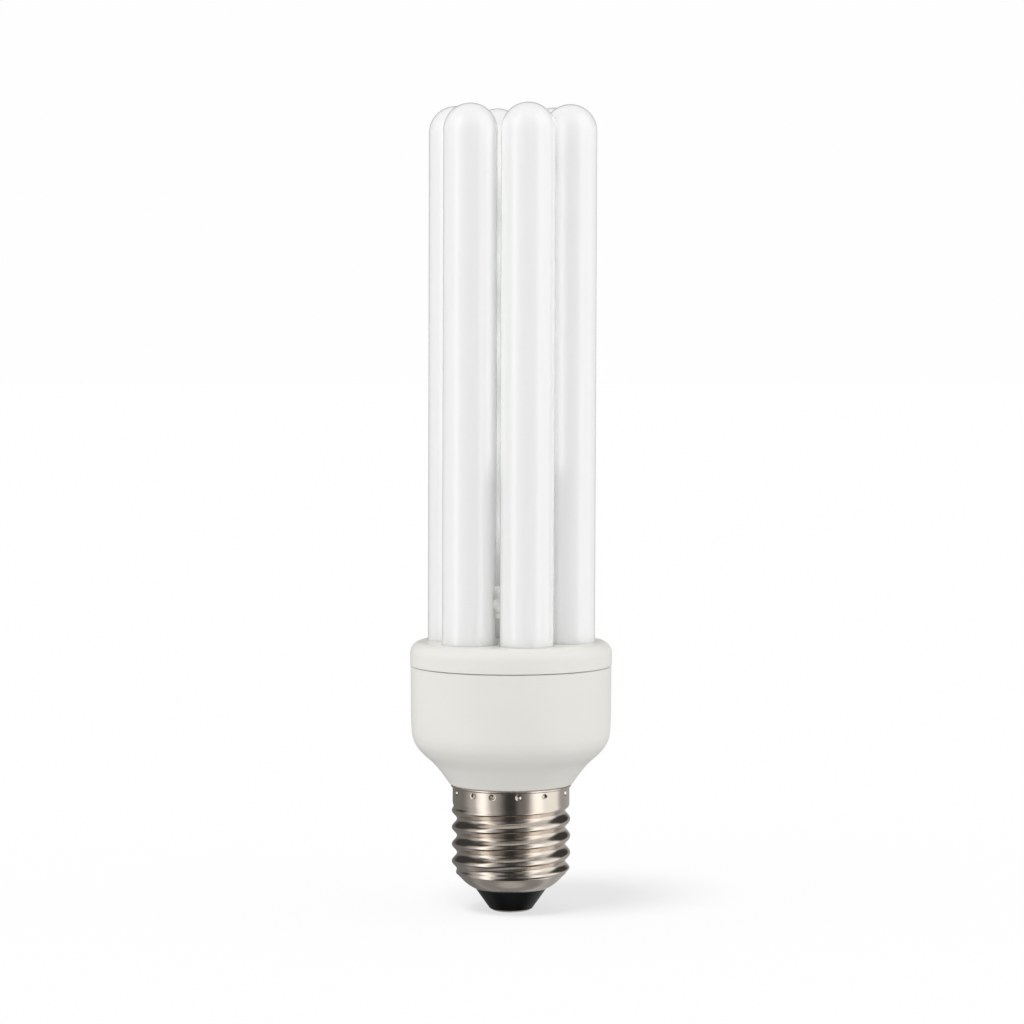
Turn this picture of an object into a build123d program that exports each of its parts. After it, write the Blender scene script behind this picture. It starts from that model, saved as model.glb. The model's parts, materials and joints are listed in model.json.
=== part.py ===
"""Compact fluorescent lamp: six bridged glass fingers, a plastic ballast housing and a screw cap.

Millimetres. +Z runs up the lamp's axis, z = 0 is the lowest point of the centre contact, and the
photograph looks from -Y. Angles named *_TURN count from -Y towards +X; polar() counts from +X.
"""

import os
from math import cos, pi, radians, sin

from build123d import *

# Screw cap: a rolled sheet with the standard 27 mm lamp thread
SHEET = 0.4  # measured across the lamp's axis
THREAD_PITCH = 3.629
THREAD_CREST_R = 13.15
THREAD_ROOT_R = 12.0
LOWEST_CREST_Z = 9.45  # on the +X side
RING_PROUD = 0.2  # past the thread's root
RING_TOP_R = THREAD_ROOT_R + RING_PROUD
RING_TOP_Z = 8.4
THREAD_FULL_FROM_Z = 9.7
THREAD_FULL_TO_Z = 23.0
COLLAR_R = 12.95
COLLAR_Z = 24.5
CAP_TOP_Z = 28.3
LIP_HEIGHT = 0.4
BASE_RING = [(8.25, 4.85), (9.3, 5.6), (10.42, 6.63), (11.5, 7.75), (RING_TOP_R, RING_TOP_Z)]
DENT_TURNS = [-68, -40, -18.5, 7.5, 35, 68, 96, 124, 152, 180, 208, 236, 264]
DENT_DROP = 1.3  # below the top of the cap
DENT_Z = CAP_TOP_Z - DENT_DROP
DENT_R = 0.9
DENT_DEPTH = 0.25

# Centre contact and insulator
CONTACT_R = 4.56
CONTACT_HEIGHT = 0.48
CONTACT_FLAT_R = 3.2
STEM_R = 1.4
STEM_BORE_R = 0.35
STEM_TOP_Z = 4.0
INSULATOR_BASE_R = 4.84
INSULATOR_RIM = (7.7, 4.62)
INSULATOR_TOP_Z = 8.0

# Ballast housing
WALL = 1.4
NECK_R = 13.4
SEAM_R = 22.2
SEAM_Z = 54.6
SEAM_BEVEL = 0.2
HOUSING_OUTLINE = [
    (NECK_R + 0.35, CAP_TOP_Z + 0.2),
    (NECK_R + 1.6, CAP_TOP_Z + 2.01),
    (SEAM_R - 5.0, CAP_TOP_Z + 4.69),
    (SEAM_R - 2.15, CAP_TOP_Z + 7.36),
    (SEAM_R - 0.55, CAP_TOP_Z + 10.04),
    (SEAM_R - 0.1, CAP_TOP_Z + 14.2),
]
SPIGOT_CLEARANCE = 0.05
SPIGOT_BORE_R = 10.0
SPIGOT_LENGTH = 7.3
SPIGOT_LOW_Z = CAP_TOP_Z - SPIGOT_LENGTH
SPIGOT_STEP_Z = COLLAR_Z + 0.3

# Tube cover
COVER_PROUD = 0.12  # past the housing's radius
COVER_HEIGHT = 5.45
COVER_ROUND = 2.7
COVER_PLATE = 2.0
SKIRT_CLEARANCE = 0.1
SKIRT_WALL = 1.3
SOCKET_WALL = 0.4
SOCKET_DEPTH = 2.8
HOLE_CLEARANCE = 0.15
COVER_R = SEAM_R + COVER_PROUD
COVER_TOP_Z = SEAM_Z + COVER_HEIGHT
SKIRT_R = SEAM_R - WALL - SKIRT_CLEARANCE
SKIRT_INNER_R = SKIRT_R - SKIRT_WALL

# Discharge vessel: six equal fingers in a ring that fills the cover's skirt
FINGER_GAP = 1.2
SKIRT_GAP = 0.5
FINGER_R = (SKIRT_INNER_R - SKIRT_GAP - FINGER_GAP) / 3
RING_R = 2 * FINGER_R + FINGER_GAP
GLASS = 1.0
FIRST_FINGER_TURN = 15
FOOT_DEPTH = 7.55  # below the top of the cover
FOOT_Z = COVER_TOP_Z - FOOT_DEPTH
FOOT_ROUND = 1.4
DOME_Z = 172.0
LOW_BRIDGE_R = 3.6
LOW_BRIDGE_RISE = 9.35  # above the cover
LOW_BRIDGE_Z = COVER_TOP_Z + LOW_BRIDGE_RISE
HIGH_BRIDGE_R = 2.2
HIGH_BRIDGE_DROP = 7.0  # below the middle of the domes
HIGH_BRIDGE_Z = DOME_Z - HIGH_BRIDGE_DROP
LOW_BRIDGES = [(5, 0), (3, 4)]
HIGH_BRIDGES = [(0, 1), (2, 3), (4, 5)]
ELECTRODE_FINGERS = [1, 2]
PINCH_WIDTH = 8.0
PINCH_THICKNESS = 2.6
PINCH_LENGTH = 2.7
PINCH_LOW_Z = FOOT_Z - PINCH_LENGTH
TIP_FINGER = 3
TIP_R = 1.6
TIP_BORE_R = 0.8
TIP_LENGTH = 4.1
TIP_LOW_Z = FOOT_Z - TIP_LENGTH
CEMENT_HEIGHT = 1.6
CEMENT_CLEARANCE = 0.05

# Circuit board, solder side up
BOARD_CLEARANCE = 0.4
BOARD_R = SEAM_R - WALL - BOARD_CLEARANCE
BOARD_GAP = 5.7  # up to the fingers' feet
BOARD_THICKNESS = 1.6
BOARD_TOP_Z = FOOT_Z - BOARD_GAP
BOARD_LOW_Z = BOARD_TOP_Z - BOARD_THICKNESS
RIB_REACH = 0.8  # under the board
RIB_HEIGHT = 5.2
RIB_WIDTH = 1.6
LEAD_R = 0.3
LEAD_CLEARANCE = 0.05
LEAD_TOP_Z = BOARD_TOP_Z + 1.0
SOLDER_R = 0.75
SOLDER_HEIGHT = 0.7
PIN_SIZE = 0.8
PIN_TOP_Z = BOARD_TOP_Z + 3.4
PIN_REACH = 4.5  # outwards from the finger's axis
WRAP_R = 1.0
WRAP_HEIGHT = 1.4

# Electrodes
LEAD_IN_R = 0.25
LEAD_IN_SPREAD = 2.0
LEAD_BEND_Z = BOARD_TOP_Z + 2.0
FILAMENT_Z = FOOT_Z + 9.5
FILAMENT_R = 0.5

UP = (Align.CENTER, Align.CENTER, Align.MIN)
DOWN = (Align.CENTER, Align.CENTER, Align.MAX)


def polar(radius, angle):
    """The point at this radius and angle from +X."""
    return radius * cos(radians(angle)), radius * sin(radians(angle))


def turned(radius, turn):
    """The point at this radius and turn from -Y towards +X."""
    return polar(radius, turn - 90)


def finger_turn(index):
    return FIRST_FINGER_TURN + 60 * index


def finger_centre(index, z):
    return (*turned(RING_R, finger_turn(index)), z)


def inset(points, distance):
    """The points of an upward outline moved towards the axis, square to the outline."""
    moved = []
    for i, point in enumerate(points):
        before = Vector(*points[max(i - 1, 0)])
        after = Vector(*points[min(i + 1, len(points) - 1)])
        along = (after - before).normalized()
        moved.append((point[0] - along.Y * distance, point[1] + along.X * distance))
    return moved


def rod(start, end, radius):
    """Adds a round bar between two points."""
    along = Vector(*end) - Vector(*start)
    with Locations(Plane(origin=start, z_dir=along)):
        Cylinder(radius, along.length, align=UP)


def wire(points, radius):
    """Adds a round wire through the points, with a ball at each bend."""
    for start, end in zip(points, points[1:]):
        rod(start, end, radius)
    with Locations(*points[1:-1]):
        Sphere(radius)


def through_lead(x, y, low_z):
    """Adds a straight lead from this height up through the board."""
    rod((x, y, low_z), (x, y, LEAD_TOP_Z), LEAD_R)


# The screw shell's wall


def smooth(share):
    share = min(max(share, 0.0), 1.0)
    return share * share * (3 - 2 * share)


def thread_radius(turn, z):
    """Outside radius of the rolled wall: a right-hand wave between the base ring and the collar."""
    turns = (z - LOWEST_CREST_Z) / THREAD_PITCH - turn / 360
    middle = (THREAD_CREST_R + THREAD_ROOT_R) / 2
    wave = middle + (THREAD_CREST_R - THREAD_ROOT_R) / 2 * cos(2 * pi * turns)
    rise = smooth((z - RING_TOP_Z) / (THREAD_FULL_FROM_Z - RING_TOP_Z))
    end = smooth((z - THREAD_FULL_TO_Z) / (COLLAR_Z - THREAD_FULL_TO_Z))
    wave = RING_TOP_R + (wave - RING_TOP_R) * rise
    return wave + (COLLAR_R - wave) * end


def rolled_side(depth):
    """The curved face of the rolled wall, this far below its outside, between two exact circles."""
    layers = 36
    around = 24
    shares = [step / around for step in range(around + 1)]
    with BuildPart() as form:
        for layer in range(layers + 1):
            z = RING_TOP_Z + (COLLAR_Z - RING_TOP_Z) * layer / layers
            with BuildSketch(Plane.XY.offset(z)):
                if layer in (0, layers):
                    Circle(thread_radius(0, z) - depth)
                else:
                    points = []
                    for share in shares[:-1]:
                        turn = 360 * share
                        points.append(polar(thread_radius(turn, z) - depth, turn))
                    with BuildLine():
                        add(Edge.make_spline(points, periodic=True, parameters=shares))
                    make_face()
        loft(clean=False)
    return form.faces().filter_by(GeomType.PLANE, reverse=True)


def away_from(piece, z):
    """The faces of the piece without the flat one at this height."""
    return piece.faces().filter_by(lambda face: abs(face.center().Z - z) > 0.01)


ring_inner_line = inset(BASE_RING, SHEET)[:-1] + [(RING_TOP_R - SHEET, RING_TOP_Z)]
dent_points = [(*turned(COLLAR_R + DENT_R - DENT_DEPTH, turn), DENT_Z) for turn in DENT_TURNS]

with BuildPart() as base_ring:
    with BuildSketch(Plane.XZ):
        with BuildLine():
            Spline(*BASE_RING)
            Spline(*ring_inner_line)
            Line(BASE_RING[0], ring_inner_line[0])
            Line(BASE_RING[-1], ring_inner_line[-1])
        make_face()
    revolve(axis=Axis.Z)

with BuildPart() as dent_bumps:
    with Locations(*dent_points):
        Sphere(DENT_R + SHEET)
    Cylinder(COLLAR_R - SHEET / 2, CAP_TOP_Z, align=UP, mode=Mode.INTERSECT)

with BuildPart() as collar:
    with Locations((0, 0, CAP_TOP_Z)):
        Cylinder(THREAD_CREST_R, LIP_HEIGHT, align=DOWN)
    fillet(collar.edges().filter_by(GeomType.CIRCLE), LIP_HEIGHT * 0.4)
    with Locations((0, 0, COLLAR_Z)):
        Cylinder(COLLAR_R, CAP_TOP_Z - COLLAR_Z, align=UP)
        Cylinder(COLLAR_R - SHEET, CAP_TOP_Z - COLLAR_Z, align=UP, mode=Mode.SUBTRACT)
    add(dent_bumps.part)
    with Locations(*dent_points):
        Sphere(DENT_R, mode=Mode.SUBTRACT)

# The rings share their edge circles with the rolled wall, so the faces close into one sheet
with BuildPart() as screw_shell:
    rolled_faces = rolled_side(0) + rolled_side(SHEET)
    ring_faces = away_from(base_ring, RING_TOP_Z) + away_from(collar, COLLAR_Z)
    add(Solid(Shell(rolled_faces + ring_faces)))

# The centre contact, a plate with a hollow stem that takes the centre wire

with BuildPart() as centre_contact:
    with BuildSketch(Plane.XZ):
        with BuildLine():
            Polyline(
                (CONTACT_R, CONTACT_HEIGHT),
                (STEM_R, CONTACT_HEIGHT),
                (STEM_R, STEM_TOP_Z),
                (STEM_BORE_R, STEM_TOP_Z),
                (STEM_BORE_R, CONTACT_HEIGHT),
                (0, CONTACT_HEIGHT),
                (0, 0),
                (CONTACT_FLAT_R, 0),
            )
            Spline((CONTACT_FLAT_R, 0), (CONTACT_R, CONTACT_HEIGHT), tangents=((1, 0), (0.7, 0.7)))
        make_face()
    revolve(axis=Axis.Z)

with BuildPart() as insulator:
    with BuildSketch(Plane.XZ):
        with BuildLine():
            Spline(*ring_inner_line)
            Polyline(
                ring_inner_line[-1],
                (STEM_R, RING_TOP_Z),
                (STEM_R, CONTACT_HEIGHT),
                (INSULATOR_BASE_R, CONTACT_HEIGHT),
                INSULATOR_RIM,
                ring_inner_line[0],
            )
        make_face()
    revolve(axis=Axis.Z)
    with Locations((0, 0, INSULATOR_TOP_Z)):
        Cylinder(RING_TOP_R, 1, align=UP, mode=Mode.SUBTRACT)

# The ballast housing

with BuildPart() as ballast_housing:
    inner_r = SEAM_R - WALL
    inner_line = inset(HOUSING_OUTLINE, WALL)
    with BuildSketch(Plane.XZ):
        with BuildLine():
            Polyline((SPIGOT_BORE_R, CAP_TOP_Z), (NECK_R, CAP_TOP_Z), HOUSING_OUTLINE[0])
            Spline(*HOUSING_OUTLINE)
            Polyline(
                HOUSING_OUTLINE[-1],
                (SEAM_R, SEAM_Z - SEAM_BEVEL),
                (SEAM_R - SEAM_BEVEL, SEAM_Z),
                (inner_r, SEAM_Z),
                inner_line[-1],
            )
            Spline(*inner_line[1:])
            Line(inner_line[1], (SPIGOT_BORE_R, CAP_TOP_Z))
        make_face()
    revolve(axis=Axis.Z)
    collar_fit_r = COLLAR_R - SHEET - SPIGOT_CLEARANCE
    with Locations((0, 0, SPIGOT_STEP_Z)):
        Cylinder(collar_fit_r, CAP_TOP_Z - SPIGOT_STEP_Z, align=UP)
    with Locations((0, 0, SPIGOT_LOW_Z)):
        Cylinder(THREAD_ROOT_R - 2 * SHEET, CAP_TOP_Z - SPIGOT_LOW_Z, align=UP)
        Cylinder(SPIGOT_BORE_R, CAP_TOP_Z - SPIGOT_LOW_Z, align=UP, mode=Mode.SUBTRACT)
    with Locations(*dent_points):
        Sphere(DENT_R + SHEET + SPIGOT_CLEARANCE, mode=Mode.SUBTRACT)
    rib_inner_r = BOARD_R - RIB_REACH
    rib_outer_r = SEAM_R - WALL / 2
    with PolarLocations((rib_inner_r + rib_outer_r) / 2, 4, start_angle=45):
        with Locations((0, 0, BOARD_LOW_Z)):
            Box(rib_outer_r - rib_inner_r, RIB_WIDTH, RIB_HEIGHT, align=DOWN)

# The discharge vessel


def finger_form(radius, foot_z, foot_round):
    """One upright finger about Z, with a round top and a flat foot."""
    with BuildPart() as form:
        with BuildSketch(Plane.XZ):
            with BuildLine():
                Polyline((0, DOME_Z + radius), (0, foot_z), (radius - foot_round, foot_z))
                CenterArc((radius - foot_round, foot_z + foot_round), foot_round, -90, 90)
                Line((radius, foot_z + foot_round), (radius, DOME_Z))
                CenterArc((0, DOME_Z), radius, 0, 90)
            make_face()
        revolve(axis=Axis.Z)
    return form.part


def bridges(depth):
    """Adds the bars that join the fingers, this far below the glass's outside."""
    for pairs, z, radius in (
        (LOW_BRIDGES, LOW_BRIDGE_Z, LOW_BRIDGE_R),
        (HIGH_BRIDGES, HIGH_BRIDGE_Z, HIGH_BRIDGE_R),
    ):
        for first, second in pairs:
            rod(finger_centre(first, z), finger_centre(second, z), radius - depth)


finger_feet = [finger_centre(index, 0) for index in range(6)]
tip_foot = finger_centre(TIP_FINGER, 0)

with BuildPart() as vessel_space:
    with Locations(*finger_feet):
        add(finger_form(FINGER_R - GLASS, FOOT_Z + GLASS, FOOT_ROUND / 2))
    bridges(GLASS)
    with Locations(tip_foot):
        with Locations((0, 0, TIP_LOW_Z + TIP_R)):
            Cylinder(TIP_BORE_R, FOOT_Z + 2 * GLASS - TIP_LOW_Z - TIP_R, align=UP)


def lead_in_xy(index, side):
    """Where one lead-in wire leaves the pinch of this finger."""
    turn = finger_turn(index)
    x, y, _ = finger_centre(index, 0)
    across_x, across_y = polar(side * LEAD_IN_SPREAD, turn)
    return x + across_x, y + across_y


def pin_xy(index, side):
    """Where the wrap pin for that wire stands."""
    x, y = lead_in_xy(index, side)
    out_x, out_y = turned(PIN_REACH, finger_turn(index))
    return x + out_x, y + out_y


lead_ins = [(index, side) for index in ELECTRODE_FINGERS for side in (-1, 1)]
pin_points = [pin_xy(index, side) for index, side in lead_ins]

with BuildPart() as discharge_vessel:
    with Locations(*finger_feet):
        add(finger_form(FINGER_R, FOOT_Z, FOOT_ROUND))
    bridges(0)
    for index in ELECTRODE_FINGERS:
        with Locations(Location(finger_centre(index, PINCH_LOW_Z), (0, 0, finger_turn(index)))):
            Box(PINCH_WIDTH, PINCH_THICKNESS, FOOT_Z + GLASS - PINCH_LOW_Z, align=UP)
    with Locations((tip_foot[0], tip_foot[1], TIP_LOW_Z + TIP_R)):
        Cylinder(TIP_R, FOOT_Z + GLASS - TIP_LOW_Z - TIP_R, align=UP)
        Sphere(TIP_R)
    add(vessel_space.part, mode=Mode.SUBTRACT)
    for index, side in lead_ins:
        x, y = lead_in_xy(index, side)
        with Locations((x, y, PINCH_LOW_Z)):
            Cylinder(LEAD_IN_R, FOOT_Z + 2 * GLASS - PINCH_LOW_Z, align=UP, mode=Mode.SUBTRACT)

# The tube cover and the cement

socket_low_z = COVER_TOP_Z - COVER_PLATE - SOCKET_DEPTH
hole_r = FINGER_R + HOLE_CLEARANCE

with BuildPart() as tube_cover:
    with BuildSketch(Plane.XZ):
        with BuildLine():
            Polyline(
                (COVER_R, COVER_TOP_Z - COVER_ROUND),
                (COVER_R, SEAM_Z + SEAM_BEVEL),
                (COVER_R - SEAM_BEVEL, SEAM_Z),
                (SKIRT_R, SEAM_Z),
                (SKIRT_R, BOARD_TOP_Z),
                (SKIRT_INNER_R, BOARD_TOP_Z),
                (SKIRT_INNER_R, COVER_TOP_Z - COVER_PLATE),
                (0, COVER_TOP_Z - COVER_PLATE),
                (0, COVER_TOP_Z),
                (COVER_R - COVER_ROUND, COVER_TOP_Z),
            )
            CenterArc((COVER_R - COVER_ROUND, COVER_TOP_Z - COVER_ROUND), COVER_ROUND, 0, 90)
        make_face()
    revolve(axis=Axis.Z)
    with Locations(*[finger_centre(index, socket_low_z) for index in range(6)]):
        Cylinder(hole_r + SOCKET_WALL, SOCKET_DEPTH, align=UP)
    with Locations(*[finger_centre(index, socket_low_z) for index in range(6)]):
        Cylinder(hole_r, SOCKET_DEPTH + COVER_PLATE, align=UP, mode=Mode.SUBTRACT)

with BuildPart() as tube_cement:
    with Locations(*[finger_centre(index, socket_low_z) for index in range(6)]):
        Cylinder(FINGER_R + SKIRT_GAP - CEMENT_CLEARANCE, CEMENT_HEIGHT, align=DOWN)
        Cylinder(FINGER_R, CEMENT_HEIGHT, align=DOWN, mode=Mode.SUBTRACT)

# The electrodes


def electrode_leads_form(index):
    """The two wires of one electrode, each from the filament to the wrap on its pin."""
    with BuildPart() as form:
        for side in (-1, 1):
            x, y = lead_in_xy(index, side)
            pin_x, pin_y = pin_xy(index, side)
            wire(
                [(x, y, FILAMENT_Z), (x, y, LEAD_BEND_Z), (pin_x, pin_y, LEAD_BEND_Z)],
                LEAD_IN_R,
            )
            with Locations((pin_x, pin_y, LEAD_BEND_Z)):
                Cylinder(WRAP_R, WRAP_HEIGHT)
        for side in (-1, 1):
            with Locations(Location((*pin_xy(index, side), LEAD_BEND_Z), (0, 0, finger_turn(index)))):
                Box(PIN_SIZE, PIN_SIZE, 2 * WRAP_HEIGHT, mode=Mode.SUBTRACT)
    return form.part


with BuildPart() as electrode_leads_right:
    add(electrode_leads_form(ELECTRODE_FINGERS[0]))

with BuildPart() as electrode_leads_back:
    add(electrode_leads_form(ELECTRODE_FINGERS[1]))

with BuildPart() as filaments:
    for index in ELECTRODE_FINGERS:
        (x1, y1), (x2, y2) = lead_in_xy(index, -1), lead_in_xy(index, 1)
        rod((x1, y1, FILAMENT_Z + FILAMENT_R), (x2, y2, FILAMENT_Z + FILAMENT_R), FILAMENT_R)

with BuildPart() as amalgam_pellet:
    pellet_r = TIP_BORE_R - 0.05
    with Locations((tip_foot[0], tip_foot[1], TIP_LOW_Z + TIP_R + pellet_r)):
        Sphere(pellet_r)

# Parts that hang from the board

CAN_R = 5.0
CAN_LENGTH = 19.0
CAN_TOP_Z = BOARD_LOW_Z - 2.2
SEAL_HEIGHT = 1.2
CAN_PITCH = 2.5
can_lead_points = [(-CAN_PITCH, 0), (CAN_PITCH, 0)]

with BuildPart() as capacitor_can:
    with Locations((0, 0, CAN_TOP_Z)):
        Cylinder(CAN_R, CAN_LENGTH, align=DOWN)
    fillet(capacitor_can.edges().group_by(Axis.Z)[0], 0.8)
    with Locations((0, 0, CAN_TOP_Z)):
        Cylinder(CAN_R - 0.5, SEAL_HEIGHT, align=DOWN, mode=Mode.SUBTRACT)

with BuildPart() as capacitor_seal:
    with Locations((0, 0, CAN_TOP_Z)):
        Cylinder(CAN_R - 0.5, SEAL_HEIGHT, align=DOWN)
    with Locations(*[(x, y, CAN_TOP_Z) for x, y in can_lead_points]):
        Cylinder(LEAD_R, SEAL_HEIGHT, align=DOWN, mode=Mode.SUBTRACT)

with BuildPart() as capacitor_leads:
    for x, y in can_lead_points:
        through_lead(x, y, CAN_TOP_Z - SEAL_HEIGHT)

# Ballast choke: a core frame with a centre leg, standing on the board

CHOKE_X = -12.0
CORE_WIDTH = 13.0
CORE_HEIGHT = 9.6
CORE_DEPTH = 5.0
YOKE = 1.8
LEG = 3.0
BOBBIN_DEPTH = 8.4
BOBBIN_WALL = 0.6
FLANGE = 0.8
CHOKE_LEAD_X = 3.5
CHOKE_LEAD_Y = 3.0
choke_mid_z = BOARD_LOW_Z - CORE_HEIGHT / 2
window_height = CORE_HEIGHT - 2 * YOKE
bobbin_width = CORE_WIDTH - 2 * YOKE
choke_lead_points = [
    (CHOKE_X + side_x * CHOKE_LEAD_X, side_y * CHOKE_LEAD_Y)
    for side_x in (-1, 1)
    for side_y in (-1, 1)
]

with BuildPart() as choke_core:
    with Locations((CHOKE_X, 0, choke_mid_z)):
        Box(CORE_DEPTH, CORE_WIDTH, CORE_HEIGHT)
        Box(CORE_DEPTH, bobbin_width, window_height, mode=Mode.SUBTRACT)
        Box(CORE_DEPTH, LEG, CORE_HEIGHT)

with BuildPart() as choke_bobbin:
    with Locations((CHOKE_X, 0, choke_mid_z)):
        Box(BOBBIN_DEPTH, bobbin_width, window_height)
        Box(BOBBIN_DEPTH, bobbin_width, window_height - 2 * FLANGE, mode=Mode.SUBTRACT)
        Box(CORE_DEPTH + 2 * BOBBIN_WALL, LEG + 2 * BOBBIN_WALL, window_height)
        Box(CORE_DEPTH, LEG, window_height, mode=Mode.SUBTRACT)
    flange_top_z = choke_mid_z + window_height / 2
    with Locations(*[(x, y, flange_top_z) for x, y in choke_lead_points]):
        Cylinder(2 * LEAD_R, BOARD_LOW_Z - flange_top_z, align=UP)
    for x, y in choke_lead_points:
        through_lead(x, y, flange_top_z)

with BuildPart() as choke_winding:
    with Locations((CHOKE_X, 0, choke_mid_z)):
        Box(BOBBIN_DEPTH - 0.4, bobbin_width - 0.2, window_height - 2 * FLANGE)
        Box(
            CORE_DEPTH + 2 * BOBBIN_WALL,
            LEG + 2 * BOBBIN_WALL,
            window_height,
            mode=Mode.SUBTRACT,
        )

# Drive transformer: a ring core with three windings

DRIVE_CENTRE = (10.0, -9.0)
DRIVE_R = 4.8
DRIVE_HOLE_R = 2.6
DRIVE_HEIGHT = 3.4
DRIVE_WRAP = 0.5
drive_mid_z = BOARD_LOW_Z - DRIVE_WRAP - DRIVE_HEIGHT / 2
drive_lead_angles = [60, 180, 300]
drive_lead_points = []
for angle in drive_lead_angles:
    for lean in (-20, 20):
        x, y = polar(DRIVE_R, angle + lean)
        drive_lead_points.append((DRIVE_CENTRE[0] + x, DRIVE_CENTRE[1] + y))

with BuildPart() as drive_ring:
    with Locations((*DRIVE_CENTRE, drive_mid_z)):
        Cylinder(DRIVE_R, DRIVE_HEIGHT)
        Cylinder(DRIVE_HOLE_R, DRIVE_HEIGHT, mode=Mode.SUBTRACT)

with BuildPart() as drive_windings:
    for angle in drive_lead_angles:
        with BuildSketch(Plane(origin=(*DRIVE_CENTRE, drive_mid_z), z_dir=(0, 0, 1)).rotated((0, 0, angle))
                         .offset(-DRIVE_HEIGHT / 2 - DRIVE_WRAP)):
            with BuildLine():
                CenterArc((0, 0), DRIVE_R + DRIVE_WRAP, -28, 56)
                CenterArc((0, 0), DRIVE_HOLE_R - DRIVE_WRAP, -28, 56)
                Line(polar(DRIVE_HOLE_R - DRIVE_WRAP, -28), polar(DRIVE_R + DRIVE_WRAP, -28))
                Line(polar(DRIVE_HOLE_R - DRIVE_WRAP, 28), polar(DRIVE_R + DRIVE_WRAP, 28))
            make_face()
        extrude(amount=DRIVE_HEIGHT + 2 * DRIVE_WRAP)
    add(drive_ring.part, mode=Mode.SUBTRACT)
    for x, y in drive_lead_points:
        through_lead(x, y, BOARD_LOW_Z - DRIVE_WRAP / 2)

# Transistors, film capacitors and thermistor, standing on their leads


def standing(part_radius, angle, z):
    """A place on this radius and angle, turned so that local X points outwards."""
    return Location((*polar(part_radius, angle), z), (0, 0, angle))


def beside(radius, angle, offset):
    """The point this far sideways from the polar point."""
    x, y = polar(radius, angle)
    side_x, side_y = polar(offset, angle + 90)
    return x + side_x, y + side_y


TRANSISTOR_PLACES = [(9.3, 20), (9.3, 75)]
TRANSISTOR_SIZE = (2.7, 7.8, 10.8)
TRANSISTOR_TOP_Z = BOARD_LOW_Z - 2.5
TRANSISTOR_HOLE_DROP = 7.2
TRANSISTOR_HOLE_R = 1.6
TRANSISTOR_PITCH = 2.3
transistor_lead_points = [
    beside(radius, angle, step * TRANSISTOR_PITCH)
    for radius, angle in TRANSISTOR_PLACES
    for step in (-1, 0, 1)
]

with BuildPart() as transistors:
    with Locations(*[standing(r, a, TRANSISTOR_TOP_Z) for r, a in TRANSISTOR_PLACES]):
        Box(*TRANSISTOR_SIZE, align=DOWN)
    hole_z = TRANSISTOR_TOP_Z - TRANSISTOR_HOLE_DROP
    with Locations(*[standing(r, a, hole_z) for r, a in TRANSISTOR_PLACES]):
        Cylinder(
            TRANSISTOR_HOLE_R,
            TRANSISTOR_SIZE[0],
            rotation=(0, 90, 0),
            mode=Mode.SUBTRACT,
        )

with BuildPart() as transistor_leads:
    for x, y in transistor_lead_points:
        through_lead(x, y, TRANSISTOR_TOP_Z)

FILM_PLACES = [(15.2, 20), (15.2, 60)]
FILM_SIZE = (4.0, 9.0, 7.4)
FILM_TOP_Z = BOARD_LOW_Z - 0.6
FILM_PITCH = 3.0
film_lead_points = [
    beside(radius, angle, step * FILM_PITCH) for radius, angle in FILM_PLACES for step in (-1, 1)
]

with BuildPart() as film_capacitors:
    with Locations(*[standing(r, a, FILM_TOP_Z) for r, a in FILM_PLACES]):
        Box(*FILM_SIZE, align=DOWN)
    fillet(film_capacitors.edges().filter_by(Axis.Z), 1.2)

with BuildPart() as film_capacitor_leads:
    for x, y in film_lead_points:
        through_lead(x, y, FILM_TOP_Z)

THERMISTOR_XY = (15.0, -1.7)
THERMISTOR_R = 2.5
THERMISTOR_THICKNESS = 2.0
THERMISTOR_PITCH = 1.5
thermistor_z = BOARD_LOW_Z - 0.6 - THERMISTOR_R
thermistor_lead_points = [
    (THERMISTOR_XY[0] + step * THERMISTOR_PITCH, THERMISTOR_XY[1]) for step in (-1, 1)
]

with BuildPart() as thermistor:
    with Locations((*THERMISTOR_XY, thermistor_z)):
        Cylinder(THERMISTOR_R, THERMISTOR_THICKNESS, rotation=(90, 0, 0))
    for x, y in thermistor_lead_points:
        with Locations((x, y, thermistor_z)):
            Cylinder(LEAD_R, 2 * THERMISTOR_R, align=UP, mode=Mode.SUBTRACT)

with BuildPart() as thermistor_leads:
    for x, y in thermistor_lead_points:
        through_lead(x, y, thermistor_z)

# Axial parts, lying under the board


def axial_ends(place, reach):
    """Where the two leads of a lying part meet the board. The place is x, y and the angle it lies at."""
    x, y, angle = place
    step_x, step_y = polar(reach, angle)
    return [(x - step_x, y - step_y), (x + step_x, y + step_y)]


def axial_bodies(places, radius, length):
    for x, y, angle in places:
        start_x, start_y = polar(length / 2, angle)
        z = BOARD_LOW_Z - radius
        rod((x - start_x, y - start_y, z), (x + start_x, y + start_y, z), radius)


def axial_leads(places, radius, length, reach):
    for place in places:
        x, y, angle = place
        z = BOARD_LOW_Z - radius
        for side, (end_x, end_y) in zip((-1, 1), axial_ends(place, reach)):
            start_x, start_y = polar(side * length / 2, angle)
            wire(
                [(x + start_x, y + start_y, z), (end_x, end_y, z), (end_x, end_y, LEAD_TOP_Z)],
                LEAD_R,
            )


DIODE_PLACES = [(-8.2, -12.2, 90), (-4.9, -12.2, 90), (-1.6, -12.2, 90), (1.7, -12.2, 90)]
DIODE_SHAPE = (1.35, 5.2)
DIODE_REACH = 4.3
RESISTOR_PLACES = [(-6.5, 14.0, 90), (-3.9, 14.0, 90), (-1.3, 14.0, 90), (1.2, 14.0, 90)]
RESISTOR_SHAPE = (1.1, 4.0)
RESISTOR_REACH = 3.2
TRIGGER_PLACES = [(-12.2, -9.2, 0)]
TRIGGER_SHAPE = (0.9, 3.4)
TRIGGER_REACH = 2.7

with BuildPart() as rectifier_diodes:
    axial_bodies(DIODE_PLACES, *DIODE_SHAPE)

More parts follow.
